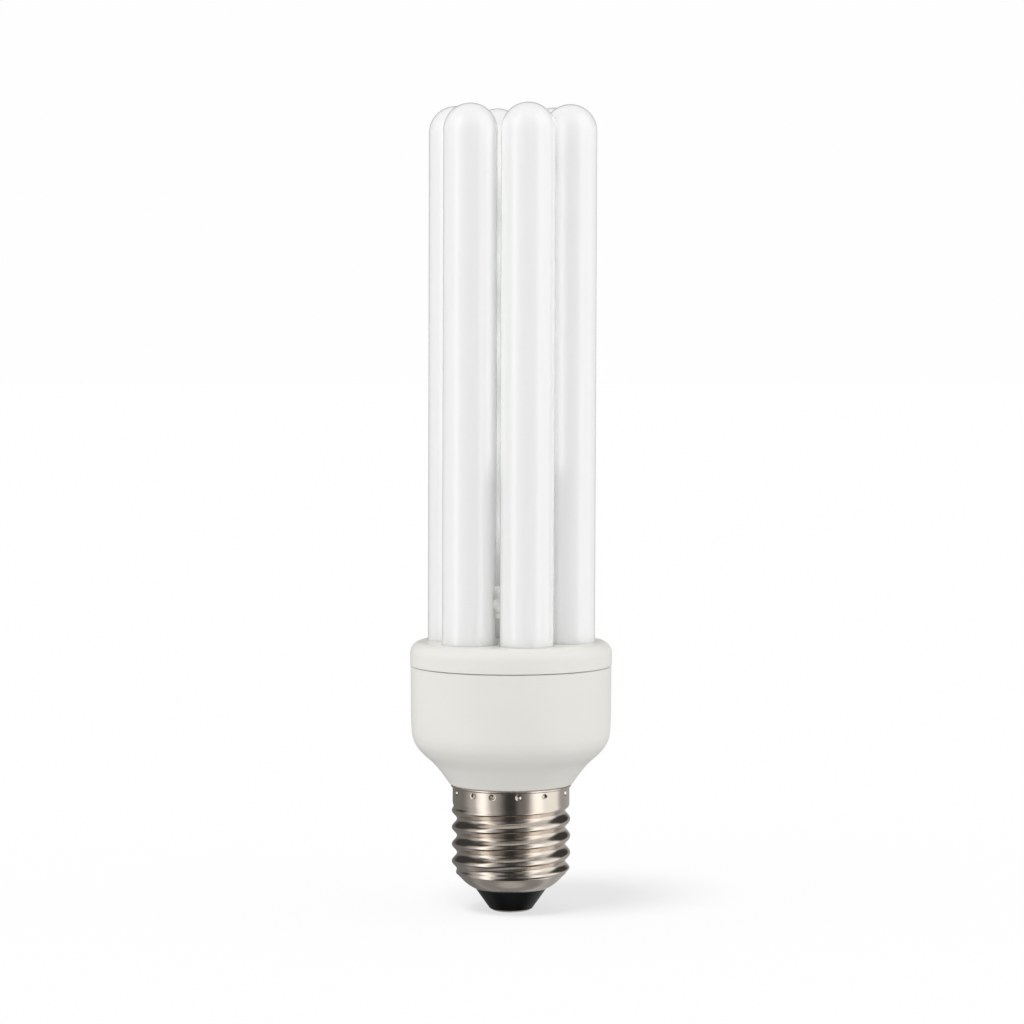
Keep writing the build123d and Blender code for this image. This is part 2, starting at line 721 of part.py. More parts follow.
with BuildPart() as diode_leads:
    axial_leads(DIODE_PLACES, *DIODE_SHAPE, DIODE_REACH)

with BuildPart() as resistors:
    axial_bodies(RESISTOR_PLACES, *RESISTOR_SHAPE)

with BuildPart() as resistor_leads:
    axial_leads(RESISTOR_PLACES, *RESISTOR_SHAPE, RESISTOR_REACH)

with BuildPart() as trigger_diode:
    axial_bodies(TRIGGER_PLACES, *TRIGGER_SHAPE)

with BuildPart() as trigger_leads:
    axial_leads(TRIGGER_PLACES, *TRIGGER_SHAPE, TRIGGER_REACH)

# Filter choke: a drum core with one winding

FILTER_XY = (-10.8, 11.0)
FILTER_R = 2.4
FILTER_CORE_R = 1.2
FILTER_HEIGHT = 7.0
FILTER_FLANGE = 0.9
filter_lead_points = [(FILTER_XY[0] + step * 1.7, FILTER_XY[1]) for step in (-1, 1)]

with BuildPart() as filter_choke:
    with Locations((*FILTER_XY, BOARD_LOW_Z)):
        Cylinder(FILTER_R, FILTER_FLANGE, align=DOWN)
        Cylinder(FILTER_CORE_R, FILTER_HEIGHT, align=DOWN)
    with Locations((*FILTER_XY, BOARD_LOW_Z - FILTER_HEIGHT)):
        Cylinder(FILTER_R, FILTER_FLANGE, align=UP)
    with Locations(*[(x, y, BOARD_LOW_Z) for x, y in filter_lead_points]):
        Cylinder(LEAD_R, FILTER_FLANGE, align=DOWN, mode=Mode.SUBTRACT)

with BuildPart() as filter_winding:
    with Locations((*FILTER_XY, BOARD_LOW_Z - FILTER_HEIGHT / 2)):
        Cylinder(FILTER_R - 0.1, FILTER_HEIGHT - 2 * FILTER_FLANGE)
        Cylinder(FILTER_CORE_R, FILTER_HEIGHT, mode=Mode.SUBTRACT)
    for x, y in filter_lead_points:
        through_lead(x, y, BOARD_LOW_Z - FILTER_FLANGE)

# Fusible resistor in the neck and the wires to the cap

FUSE_XY = (0, -7.5)
FUSE_R = 1.75
FUSE_LOW_Z = 27.0
FUSE_HIGH_Z = 36.0
CENTRE_WIRE_BEND_Z = 20.0
CENTRE_WIRE_JOIN_Z = 12.0
SHELL_WIRE_XY = (-3.0, 6.6)
SHELL_WIRE_Z = 19.6

with BuildPart() as fusible_resistor:
    rod((*FUSE_XY, FUSE_LOW_Z), (*FUSE_XY, FUSE_HIGH_Z), FUSE_R)

with BuildPart() as centre_wire:
    through_lead(*FUSE_XY, FUSE_HIGH_Z)
    wire(
        [
            (*FUSE_XY, FUSE_LOW_Z),
            (*FUSE_XY, CENTRE_WIRE_BEND_Z),
            (0, 0, CENTRE_WIRE_JOIN_Z),
            (0, 0, CONTACT_HEIGHT),
        ],
        LEAD_R,
    )

with BuildPart() as shell_wire:
    shell_angle = 114.5
    wall_r = thread_radius(shell_angle, SHELL_WIRE_Z) - SHEET
    end_x, end_y = polar(wall_r - 0.1, shell_angle)
    wire(
        [(*SHELL_WIRE_XY, LEAD_TOP_Z), (*SHELL_WIRE_XY, SHELL_WIRE_Z), (end_x, end_y, SHELL_WIRE_Z)],
        LEAD_R,
    )

# The board with its pins and solder

lead_points = (
    can_lead_points
    + choke_lead_points
    + drive_lead_points
    + transistor_lead_points
    + film_lead_points
    + thermistor_lead_points
    + filter_lead_points
    + [FUSE_XY, SHELL_WIRE_XY]
)
for places, reach in (
    (DIODE_PLACES, DIODE_REACH),
    (RESISTOR_PLACES, RESISTOR_REACH),
    (TRIGGER_PLACES, TRIGGER_REACH),
):
    for place in places:
        lead_points = lead_points + axial_ends(place, reach)

pin_places = [
    Location((*pin_xy(index, side), BOARD_LOW_Z), (0, 0, finger_turn(index)))
    for index, side in lead_ins
]

with BuildPart() as circuit_board:
    with BuildSketch(Plane.XY.offset(BOARD_LOW_Z)):
        Circle(BOARD_R)
        with Locations(*lead_points):
            Circle(LEAD_R + LEAD_CLEARANCE, mode=Mode.SUBTRACT)
    extrude(amount=BOARD_TOP_Z - BOARD_LOW_Z)
    with Locations(*pin_places):
        Box(PIN_SIZE, PIN_SIZE, BOARD_TOP_Z - BOARD_LOW_Z, align=UP, mode=Mode.SUBTRACT)

with BuildPart() as wrap_pins:
    with Locations(*pin_places):
        Box(PIN_SIZE, PIN_SIZE, PIN_TOP_Z - BOARD_LOW_Z, align=UP)

with BuildPart() as solder_joints:
    with Locations(*[(x, y, BOARD_TOP_Z) for x, y in lead_points]):
        Cone(SOLDER_R, LEAD_R + 0.05, SOLDER_HEIGHT, align=UP)
        Cylinder(LEAD_R, SOLDER_HEIGHT, align=UP, mode=Mode.SUBTRACT)

# One file for each named piece

pieces = {
    "amalgam_pellet": amalgam_pellet,
    "ballast_housing": ballast_housing,
    "capacitor_can": capacitor_can,
    "capacitor_leads": capacitor_leads,
    "capacitor_seal": capacitor_seal,
    "centre_contact": centre_contact,
    "centre_wire": centre_wire,
    "choke_bobbin": choke_bobbin,
    "choke_core": choke_core,
    "choke_winding": choke_winding,
    "circuit_board": circuit_board,
    "diode_leads": diode_leads,
    "discharge_vessel": discharge_vessel,
    "drive_ring": drive_ring,
    "drive_windings": drive_windings,
    "electrode_leads_back": electrode_leads_back,
    "electrode_leads_right": electrode_leads_right,
    "filaments": filaments,
    "film_capacitor_leads": film_capacitor_leads,
    "film_capacitors": film_capacitors,
    "filter_choke": filter_choke,
    "filter_winding": filter_winding,
    "fusible_resistor": fusible_resistor,
    "insulator": insulator,
    "rectifier_diodes": rectifier_diodes,
    "resistor_leads": resistor_leads,
    "resistors": resistors,
    "screw_shell": screw_shell,
    "shell_wire": shell_wire,
    "solder_joints": solder_joints,
    "thermistor": thermistor,
    "thermistor_leads": thermistor_leads,
    "transistor_leads": transistor_leads,
    "transistors": transistors,
    "trigger_diode": trigger_diode,
    "trigger_leads": trigger_leads,
    "tube_cement": tube_cement,
    "tube_cover": tube_cover,
    "wrap_pins": wrap_pins,
}

os.makedirs("parts", exist_ok=True)
for label, piece in pieces.items():
    piece.part.label = label
    export_step(piece.part, f"parts/{label}.step")
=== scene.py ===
"""Studio picture of a compact fluorescent lamp on a white floor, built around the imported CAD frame.

Lengths are millimetres until a mesh is made, +Z runs up the lamp's axis and the camera looks along +Y.
"""

import json
from math import cos, hypot, pi, radians, sin

import bpy
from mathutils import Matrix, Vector


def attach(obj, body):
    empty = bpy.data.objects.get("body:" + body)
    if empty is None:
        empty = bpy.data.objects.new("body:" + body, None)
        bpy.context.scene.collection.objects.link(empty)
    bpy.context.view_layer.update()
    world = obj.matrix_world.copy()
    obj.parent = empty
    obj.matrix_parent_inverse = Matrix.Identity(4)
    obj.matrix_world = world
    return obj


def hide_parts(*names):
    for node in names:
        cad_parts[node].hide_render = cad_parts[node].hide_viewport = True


MM = 0.001

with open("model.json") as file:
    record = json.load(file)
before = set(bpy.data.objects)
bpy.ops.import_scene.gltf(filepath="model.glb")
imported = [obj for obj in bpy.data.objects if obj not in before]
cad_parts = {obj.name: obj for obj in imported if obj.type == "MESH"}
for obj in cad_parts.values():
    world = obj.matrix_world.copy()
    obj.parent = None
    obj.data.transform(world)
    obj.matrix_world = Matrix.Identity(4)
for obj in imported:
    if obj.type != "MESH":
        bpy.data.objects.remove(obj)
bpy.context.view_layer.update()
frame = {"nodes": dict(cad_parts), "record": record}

# Sizes of the lamp. Most are the CAD part's own. The thread's pitch and ends, the lip, the dents, the foot
# of the base ring, the insulator's outline and the bridges' depth are set closer to the photograph here.
THREAD_PITCH = 3.77
THREAD_CREST_R = 13.15
THREAD_ROOT_R = 12.0
LOWEST_CREST_Z = 9.15
RING_TOP_R = 12.2
RING_TOP_Z = 8.4
THREAD_FULL_FROM_Z = 9.7
THREAD_FULL_TO_Z = 22.4
THREAD_STEP = 0.14
COLLAR_R = 12.95
COLLAR_Z = 24.2
CAP_TOP_Z = 28.3
LIP_HEIGHT = 0.7
LIP_R = 13.35
SHEET = 0.4
BASE_RING = [(8.2, 5.15), (9.3, 5.75), (10.42, 6.63), (11.5, 7.75), (RING_TOP_R, RING_TOP_Z)]
CONTACT_OUTLINE = [(3.2, 0), (3.7, 0.05), (4.15, 0.17), (4.56, 0.48)]
CONTACT_HOLE_R = 1.4
INSULATOR_BASE_R = 4.9
INSULATOR_BASE_Z = 0.48
INSULATOR_ROUND = 0.34
INSULATOR_RIM = (7.85, 4.9)
INSULATOR_LAP = 0.01
INSULATOR_TOP = (8.1, 5.3)
DENT_TURNS = [-68, -40, -18.5, 7.5, 35, 68, 96, 124, 152, 180, 208, 236, 264]
DENT_Z = 26.75
DENT_R = 0.6
DENT_DEPTH = 0.5
RING_R = 13.0
FINGER_R = 5.9
FIRST_FINGER_TURN = 15
FOOT_Z = 52.5
FOOT_ROUND = 1.4
DOME_Z = 172.0
LOW_BRIDGE_R = 3.6
LOW_BRIDGE_DEPTH = 1.2
LOW_BRIDGE_Z = 69.4
HIGH_BRIDGE_R = 2.2
HIGH_BRIDGE_DEPTH = 1.3
HIGH_BRIDGE_Z = 165.0
LOW_BRIDGES = [(5, 0), (3, 4)]
HIGH_BRIDGES = [(0, 1), (2, 3), (4, 5)]
BRIDGE_ENDS = (0.28, 0.72)
BRIDGE_ROOT_RISE = 0.6
BRIDGE_ROOT_FROM = 0.2
BRIDGE_ROOT_LENGTH = 1.8
NECK_R = 13.4
NECK_INNER_R = 12.6
SEAM_R = 22.2
SEAM_INNER_R = 20.9
SEAM_Z = 54.6
SEAM_BEVEL = 0.2
SEAM_GAP = 0.14
HOUSING_OUTLINE = [
    (NECK_R + 0.35, CAP_TOP_Z + 0.2),
    (NECK_R + 1.6, 30.31),
    (SEAM_R - 5.0, 32.99),
    (SEAM_R - 2.15, 35.66),
    (SEAM_R - 0.55, 38.34),
    (SEAM_R - 0.1, 42.5),
    (SEAM_R, SEAM_Z - SEAM_BEVEL),
]
COVER_R = 22.32
COVER_TOP_Z = 60.05
COVER_ROUND = 2.7
COVER_PLATE = 2.0
COVER_INNER_R = 19.4
HOLE_R = 6.05

# The fingers in the photograph lean a little to the right
LEAN = 0.0034
LEAN_FROM_Z = 58.0

# A radius this small stands for the axis, so that turned surfaces are made of quads
AXIS_R = 0.01

# Lights on the axis and in the gaps between the fingers
FILL_LIGHT = 0.0008
FILL_LIGHT_R = 4
FILL_LIGHT_HEIGHTS = [85, 105, 125, 145, 165]
GAP_LIGHT = 0.00024
GAP_LIGHT_WIDTH = 1
GAP_LIGHT_R = 15.5
GAP_LIGHT_LOW_Z = 98
GAP_LIGHT_TOP_Z = 174

# The floor, as the camera and as other rays see it, and the light that makes the lamp's shadow on it
FLOOR_HALF_WIDTH = 6000
FLOOR_SHADED = 0.15
FLOOR_GLOW = 0.668
FLOOR_BOUNCE = 0.32
FLOOR_LIGHT = 4.0
FLOOR_LIGHT_SPREAD = 26
FLOOR_LIGHT_UP = 62
FLOOR_LIGHT_TURN = -124

# Brightness of the studio: boxes of azimuth from the camera towards +X, its soft edge, elevation, its soft
# edge (degrees) and brightness, first as gloss and metal mirror them, then as they light the rest
BACKDROP = 0.991
MIRRORED_BOXES = [
    (-70, -47, 10, -50, 60, 8, 1.1),
    (-98, -22, 16, -40, 40, 12, 0.5),
    (-210, -104, 12, -50, 9, 7, 0.17),
    (-210, -104, 12, -90, -45, 8, 0.25),
    (12, 34, 6, -40, 40, 12, 0.16),
    (38, 108, 8, -50, 60, 8, 0.75),
    (46, 66, 6, -50, 60, 8, 0.42),
    (36, 104, 12, -50, 35, 12, 0.38),
    (104, 210, 12, -50, 9, 7, 0.4),
    (104, 210, 12, -90, -45, 8, 0.25),
    (-300, 300, 5, -120, -74, 6, 0.22),
]
MIRRORED_BASE = 0.035
SOFT_BOXES = [
    (-110, -35, 20, -10, 60, 15, 0.35),
    (35, 110, 20, -10, 60, 15, 0.35),
    (-60, -10, 12, 38, 72, 10, 0.6),
    (-150, -75, 12, -10, 18, 8, 0.7),
    (75, 150, 12, -10, 18, 8, 0.6),
    (-300, 300, 5, -10, 55, 10, 0.45),
]
SOFT_BASE = 0.58

# The camera's place and lens, fitted to the photograph
CAMERA_DISTANCE = 771.5
CAMERA_HEIGHT = 132.2
CAMERA_PITCH = 3.24
CAMERA_ASIDE = 0.22
CAMERA_LENS = 123.05
CAMERA_SENSOR = 36


def smooth(share):
    """An eased step from 0 to 1."""
    share = min(max(share, 0.0), 1.0)
    return share * share * (3 - 2 * share)


def curve_points(points, steps):
    """Points along a smooth curve through these (radius, z) points."""
    found = []
    count = len(points)
    for i in range(count - 1):
        p0 = Vector(points[max(i - 1, 0)])
        p1 = Vector(points[i])
        p2 = Vector(points[i + 1])
        p3 = Vector(points[min(i + 2, count - 1)])
        for step in range(steps):
            t = step / steps
            a = 2 * p1
            b = p2 - p0
            c = 2 * p0 - 5 * p1 + 4 * p2 - p3
            d = 3 * p1 - p0 - 3 * p2 + p3
            point = 0.5 * (a + b * t + c * t * t + d * t * t * t)
            found.append((point.x, point.y))
    found.append(tuple(points[-1]))
    return found


def arc(centre_r, centre_z, radius, start, end, steps):
    """Points of an arc in the (radius, z) plane, angles in degrees."""
    points = []
    for step in range(steps + 1):
        angle = radians(start + (end - start) * step / steps)
        points.append((centre_r + radius * cos(angle), centre_z + radius * sin(angle)))
    return points


def mesh_object(name, vertices, faces, crease=35):
    """A mesh that rides on the lamp, smooth except where two faces meet at more than the crease angle."""
    mesh = bpy.data.meshes.new(name)
    mesh.from_pydata([(x * MM, y * MM, z * MM) for x, y, z in vertices], [], faces)
    mesh.update()
    mesh.shade_smooth()
    mesh.set_sharp_from_angle(angle=radians(crease))
    made = bpy.data.objects.new(name, mesh)
    bpy.context.scene.collection.objects.link(made)
    return made


def surface_of_rows(rows):
    """Vertices and quads of a surface that closes around Z; each row is a list of points."""
    around = len(rows[0])
    vertices = [point for row in rows for point in row]
    faces = []
    for i in range(len(rows) - 1):
        for j in range(around):
            k = (j + 1) % around
            faces.append((i * around + j, i * around + k, (i + 1) * around + k, (i + 1) * around + j))
    return vertices, faces


def joined(surfaces):
    """Vertices and quads of several such surfaces in one mesh."""
    vertices, faces = [], []
    for rows in surfaces:
        more, quads = surface_of_rows(rows)
        start = len(vertices)
        vertices += more
        faces += [tuple(start + i for i in quad) for quad in quads]
    return vertices, faces


def lathe_rows(outline, around, centre=(0, 0)):
    """Rows for an outline of (radius, z) points turned about an upright line."""
    rows = []
    for radius, z in outline:
        row = []
        for step in range(around):
            angle = 2 * pi * step / around
            row.append((centre[0] + radius * cos(angle), centre[1] + radius * sin(angle), z))
        rows.append(row)
    return rows


def lathe(name, outline, around=192):
    return mesh_object(name, *surface_of_rows(lathe_rows(outline, around)))


# Materials


def new_material(name):
    material = bpy.data.materials.new(name)
    material.use_nodes = True
    tree = material.node_tree
    return material, tree, tree.nodes["Principled BSDF"]


def add_node(tree, kind, **values):
    node = tree.nodes.new(kind)
    for key, value in values.items():
        setattr(node, key, value)
    return node


def math_node(tree, operation, first, second=None):
    """A maths node; each input is a socket or a number."""
    node = add_node(tree, "ShaderNodeMath", operation=operation)
    for slot, value in zip(node.inputs, (first, second)):
        if value is None:
            continue
        if isinstance(value, (int, float)):
            slot.default_value = value
        else:
            tree.links.new(value, slot)
    return node.outputs[0]


def ramp(tree, factor, stops):
    """A colour ramp with these (position, grey or colour) stops."""
    node = add_node(tree, "ShaderNodeValToRGB")
    elements = node.color_ramp.elements
    while len(elements) < len(stops):
        elements.new(0.5)
    for element, (position, colour) in zip(elements, stops):
        if isinstance(colour, (int, float)):
            colour = (colour, colour, colour)
        element.position = position
        element.color = (*colour, 1)
    tree.links.new(factor, node.inputs[0])
    return node.outputs[0]


def noise(tree, scale, detail=2.0):
    """Noise in the lamp's own space, so it stays put when the camera moves."""
    place = add_node(tree, "ShaderNodeTexCoord")
    node = add_node(tree, "ShaderNodeTexNoise")
    node.inputs["Scale"].default_value = scale
    node.inputs["Detail"].default_value = detail
    tree.links.new(place.outputs["Object"], node.inputs["Vector"])
    return node.outputs["Fac"]


def bump(tree, shader, height, strength, distance):
    node = add_node(tree, "ShaderNodeBump")
    node.inputs["Strength"].default_value = strength
    node.inputs["Distance"].default_value = distance
    tree.links.new(height, node.inputs["Height"])
    tree.links.new(node.outputs[0], shader.inputs["Normal"])


def coated_glass():
    """White phosphor behind clear glass: pale, cloudy and glossy, with painted shade where it is seen
    edge-on and a faint painted glow.
    """
    material, tree, shader = new_material("coated_glass")
    facing = add_node(tree, "ShaderNodeLayerWeight")
    facing.inputs["Blend"].default_value = 0.5
    # Painted shade: the colour falls towards black where the surface is seen edge-on, for the dark
    # outlines of the glass
    edge = ramp(
        tree,
        facing.outputs["Facing"],
        [
            (0.0, (0.83, 0.835, 0.83)),
            (0.7, (0.83, 0.835, 0.83)),
            (0.88, (0.66, 0.665, 0.66)),
            (1.0, (0.1, 0.105, 0.1)),
        ],
    )
    tree.links.new(edge, shader.inputs["Base Color"])
    shader.inputs["Subsurface Weight"].default_value = 0.7
    shader.inputs["Subsurface Radius"].default_value = (1, 1, 1)
    shader.inputs["Subsurface Scale"].default_value = 0.005
    # Painted glow: the fingers give off a faint light in their own colour, which lightens the shade
    # between them
    tree.links.new(edge, shader.inputs["Emission Color"])
    shader.inputs["Emission Strength"].default_value = 0.06
    shader.inputs["Roughness"].default_value = 0.04
    shader.inputs["IOR"].default_value = 1.65
    return material


def bridge_glass():
    """Thinly coated glass of the bridges, greyer and greener than the fingers, with a faint painted glow.
    """
    material, tree, shader = new_material("bridge_glass")
    patches = ramp(
        tree,
        noise(tree, 380, 3),
        [(0.35, (0.40, 0.41, 0.38)), (0.6, (0.74, 0.75, 0.73))],
    )
    tree.links.new(patches, shader.inputs["Base Color"])
    tree.links.new(patches, shader.inputs["Emission Color"])
    # Painted glow: the bridges give off a faint light in their own colour, which lightens them in the
    # shade between the fingers
    shader.inputs["Emission Strength"].default_value = 0.15
    shader.inputs["Roughness"].default_value = 0.05
    return material


def housing_plastic():
    material, tree, shader = new_material("housing_plastic")
    tone = ramp(tree, noise(tree, 60), [(0.3, (0.80, 0.785, 0.745)), (0.7, (0.82, 0.805, 0.765))])
    tree.links.new(tone, shader.inputs["Base Color"])
    shader.inputs["Roughness"].default_value = 0.32
    shader.inputs["Specular IOR Level"].default_value = 0.15
    bump(tree, shader, noise(tree, 900, 3), 0.04, 0.0002)
    return material


def nickel():
    material, tree, shader = new_material("nickel")
    tone = ramp(tree, noise(tree, 150), [(0.3, (0.67, 0.60, 0.53)), (0.7, (0.73, 0.65, 0.575))])
    tree.links.new(tone, shader.inputs["Base Color"])
    shader.inputs["Metallic"].default_value = 1
    shader.inputs["Roughness"].default_value = 0.17
    bump(tree, shader, noise(tree, 700, 3), 0.06, 0.0002)
    return material


def black_glass():
    material, tree, shader = new_material("black_glass")
    tone = ramp(tree, noise(tree, 300), [(0.3, 0.001), (0.7, 0.003)])
    tree.links.new(tone, shader.inputs["Base Color"])
    shader.inputs["Roughness"].default_value = 0.25
    shader.inputs["Specular IOR Level"].default_value = 0.1
    return material


def plain(name, colour, roughness, metallic=0):
    """A simple finish with a slight mottle, for the pieces inside the housing."""
    material, tree, shader = new_material(name)
    darker = tuple(part * 0.9 for part in colour)
    tone = ramp(tree, noise(tree, 200), [(0.3, darker), (0.7, colour)])
    tree.links.new(tone, shader.inputs["Base Color"])
    shader.inputs["Roughness"].default_value = roughness
    shader.inputs["Metallic"].default_value = metallic
    return material


looks = {
    "coated_glass": coated_glass(),
    "housing_plastic": housing_plastic(),
    "cap_metal": nickel(),
    "black_glass": black_glass(),
    "cement": plain("cement", (0.8, 0.8, 0.78), 0.8),
    "amalgam": plain("amalgam", (0.55, 0.55, 0.58), 0.3, 1),
    "aluminium_can": plain("aluminium_can", (0.03, 0.035, 0.06), 0.35),
    "rubber_seal": plain("rubber_seal", (0.02, 0.02, 0.02), 0.7),
    "tinned_wire": plain("tinned_wire", (0.7, 0.69, 0.66), 0.25, 1),
    "lead_in_wire": plain("lead_in_wire", (0.5, 0.47, 0.44), 0.3, 1),
    "solder": plain("solder", (0.65, 0.65, 0.68), 0.25, 1),
    "bobbin_plastic": plain("bobbin_plastic", (0.03, 0.03, 0.03), 0.5),
    "ferrite": plain("ferrite", (0.04, 0.04, 0.045), 0.6),
    "enamelled_wire": plain("enamelled_wire", (0.45, 0.14, 0.04), 0.3),
    "board_laminate": plain("board_laminate", (0.45, 0.3, 0.12), 0.6),
    "dipped_resin": plain("dipped_resin", (0.3, 0.04, 0.02), 0.2),
    "resistor_body": plain("resistor_body", (0.5, 0.38, 0.22), 0.4),
    "black_resin": plain("black_resin", (0.015, 0.015, 0.015), 0.5),
    "diode_glass": plain("diode_glass", (0.5, 0.16, 0.05), 0.1),
}

for subpart in frame["record"]["subparts"]:
    node = frame["nodes"][subpart["node"]]
    node.data.materials.clear()
    node.data.materials.append(looks[subpart["material_slot"]])


def dress(made, slot, *nodes):
    """Gives a piece its finish and lets it stand for these CAD nodes."""
    made.data.materials.append(looks[slot])
    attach(made, "root")
    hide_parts(*nodes)
    return made


# Screw shell


def thread_radius(turn, z):
    turns = (z - LOWEST_CREST_Z) / THREAD_PITCH - turn / 360
    middle = (THREAD_CREST_R + THREAD_ROOT_R) / 2
    wave = middle + (THREAD_CREST_R - THREAD_ROOT_R) / 2 * cos(2 * pi * turns)
    rise = smooth((z - RING_TOP_Z) / (THREAD_FULL_FROM_Z - RING_TOP_Z))
    end = smooth((z - THREAD_FULL_TO_Z) / (COLLAR_Z - THREAD_FULL_TO_Z))
    wave = RING_TOP_R + (wave - RING_TOP_R) * rise
    return wave + (COLLAR_R - wave) * end


def dent_at(turn, z):
    """How far a punched dent lowers the collar here."""
    for dent_turn in DENT_TURNS:
        sideways = (turn - dent_turn + 270) % 360 - 180
        across = radians(sideways) * COLLAR_R
        distance = hypot(across, z - DENT_Z)
        if distance < DENT_R:
            return DENT_DEPTH * (1 - (distance / DENT_R) ** 2)
    return 0.0


def make_screw_shell():
    around = 360
    rows = []
    for radius, z in curve_points(BASE_RING, 5)[:-1]:
        rows.append([(radius, 360 * step / around, z) for step in range(around)])
    z = RING_TOP_Z
    while z < CAP_TOP_Z - LIP_HEIGHT:
        row = []
        for step in range(around):
            turn = 360 * step / around
            radius = thread_radius(turn, z) if z < COLLAR_Z else COLLAR_R - dent_at(turn, z)
            row.append((radius, turn, z))
        rows.append(row)
        z += THREAD_STEP
    bead = LIP_R - COLLAR_R
    lip_z = CAP_TOP_Z - LIP_HEIGHT / 2
    for angle in range(-90, 91, 30):
        radius = COLLAR_R + bead * cos(radians(angle))
        height = lip_z + LIP_HEIGHT / 2 * sin(radians(angle))
        rows.append([(radius, 360 * step / around, height) for step in range(around)])
    rows.append([(COLLAR_R - SHEET, 360 * step / around, CAP_TOP_Z) for step in range(around)])
    placed = [
        [(r * cos(radians(turn)), r * sin(radians(turn)), z) for r, turn, z in row] for row in rows
    ]
    return mesh_object("screw_shell_surface", *surface_of_rows(placed), crease=60)


shell = dress(make_screw_shell(), "cap_metal", "screw_shell")

# Insulator and centre contact


def make_insulator():
    ring_r, ring_z = BASE_RING[0]
    round_r = INSULATOR_BASE_R - INSULATOR_ROUND
    outline = [(CONTACT_HOLE_R, INSULATOR_BASE_Z), (round_r, INSULATOR_BASE_Z)]
    outline += arc(round_r, INSULATOR_BASE_Z + INSULATOR_ROUND, INSULATOR_ROUND, -90, -35, 4)
    outline += [INSULATOR_RIM, (ring_r, ring_z + INSULATOR_LAP), INSULATOR_TOP]
    outline.append((CONTACT_HOLE_R, INSULATOR_TOP[1]))
    return lathe("insulator_surface", outline)


def make_contact():
    outline = [(AXIS_R, 0)] + CONTACT_OUTLINE
    outline += [(CONTACT_HOLE_R, INSULATOR_BASE_Z), (AXIS_R, INSULATOR_BASE_Z)]
    return lathe("contact_surface", outline)


insulator = dress(make_insulator(), "black_glass", "insulator")
contact = dress(make_contact(), "cap_metal", "centre_contact")

# Ballast housing and tube cover


def make_housing():
    top_z = SEAM_Z - SEAM_GAP / 2
    outline = [(NECK_INNER_R, CAP_TOP_Z), (NECK_R, CAP_TOP_Z)]
    outline += curve_points(HOUSING_OUTLINE, 12)
    outline += [(SEAM_R - SEAM_BEVEL, top_z), (SEAM_INNER_R, top_z)]
    return lathe("housing_surface", outline, 256)


def finger_turn(index):
    return FIRST_FINGER_TURN + 60 * index


def finger_centre(index):
    angle = radians(finger_turn(index) - 90)
    return RING_R * cos(angle), RING_R * sin(angle)


def make_cover():
    """The cover as a turned body with six holes cut for the fingers."""
    low_z = SEAM_Z + SEAM_GAP / 2
    under_z = COVER_TOP_Z - COVER_PLATE
    outline = [(COVER_INNER_R, low_z), (COVER_R - SEAM_BEVEL, low_z), (COVER_R, SEAM_Z + SEAM_BEVEL)]
    outline += arc(COVER_R - COVER_ROUND, COVER_TOP_Z - COVER_ROUND, COVER_ROUND, 0, 90, 14)
    outline += [(AXIS_R, COVER_TOP_Z), (AXIS_R, under_z), (COVER_INNER_R, under_z), (COVER_INNER_R, low_z)]
    body = lathe("cover_surface", outline, 256)
    drill_low = under_z - COVER_PLATE
    drill_top = COVER_TOP_Z + COVER_PLATE
    drill_outline = [(AXIS_R, drill_low), (HOLE_R, drill_low), (HOLE_R, drill_top), (AXIS_R, drill_top)]
    drills = []
    for index in range(6):
        drill = lathe(f"drill_{index}", drill_outline, 128)
        x, y = finger_centre(index)
        drill.location = (x * MM, y * MM, 0)
        drills.append(drill)
        cut = body.modifiers.new(f"hole_{index}", "BOOLEAN")
        cut.operation = "DIFFERENCE"
        cut.solver = "EXACT"
        cut.object = drill
    bpy.context.view_layer.update()
    evaluated = body.evaluated_get(bpy.context.evaluated_depsgraph_get())
    drilled = bpy.data.meshes.new_from_object(evaluated)
    body.modifiers.clear()
    body.data = drilled
    body.data.set_sharp_from_angle(angle=radians(35))
    for drill in drills:
        bpy.data.objects.remove(drill)
    return body


housing = dress(make_housing(), "housing_plastic", "ballast_housing")
dress(make_cover(), "housing_plastic", "tube_cover")

# Discharge vessel


def lean(points):
    """These points moved to the right as they rise, as in the photograph."""
    return [(x + LEAN * max(z - LEAN_FROM_Z, 0), y, z) for x, y, z in points]


def bridge_rows(first, second, z, tall, deep, root_rise):
    """Rings of an oval bar between two fingers, with this half height and half depth.

    Where the bar meets the glass, the root rise is added to its half height.
    """
    x1, y1 = finger_centre(first)
    x2, y2 = finger_centre(second)
    length = hypot(x2 - x1, y2 - y1)
    along_x, along_y = (x2 - x1) / length, (y2 - y1) / length
    rows = []
    start, end = BRIDGE_ENDS
    steps, around = 24, 64
    for step in range(steps + 1):
        place = length * (start + (end - start) * step / steps)
        off = abs(place - length / 2)
        height = tall + root_rise * smooth((off - BRIDGE_ROOT_FROM) / BRIDGE_ROOT_LENGTH)
        row = []
        for turn in range(around):
            angle = 2 * pi * turn / around
            side = deep * cos(angle)
            x = x1 + along_x * place - along_y * side
            y = y1 + along_y * place + along_x * side
            row.append((x, y, z + height * sin(angle)))
        rows.append(row)
    return rows


def make_fingers():
    outline = [(AXIS_R, FOOT_Z), (FINGER_R - FOOT_ROUND, FOOT_Z)]
    outline += arc(FINGER_R - FOOT_ROUND, FOOT_Z + FOOT_ROUND, FOOT_ROUND, -80, 0, 5)
    outline += arc(0, DOME_Z, FINGER_R, 0, 89.9, 28)
    vertices, faces = joined([lathe_rows(outline, 128, finger_centre(index)) for index in range(6)])
    return mesh_object("fingers_surface", lean(vertices), faces, crease=60)


def make_bridges(name, pairs, material, *sizes):
    """Bridges between these pairs of fingers, with the sizes that bridge_rows takes."""
    vertices, faces = joined([bridge_rows(first, second, *sizes) for first, second in pairs])
    made = mesh_object(name, lean(vertices), faces, crease=60)
    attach(made, "root")
    made.data.materials.append(material)


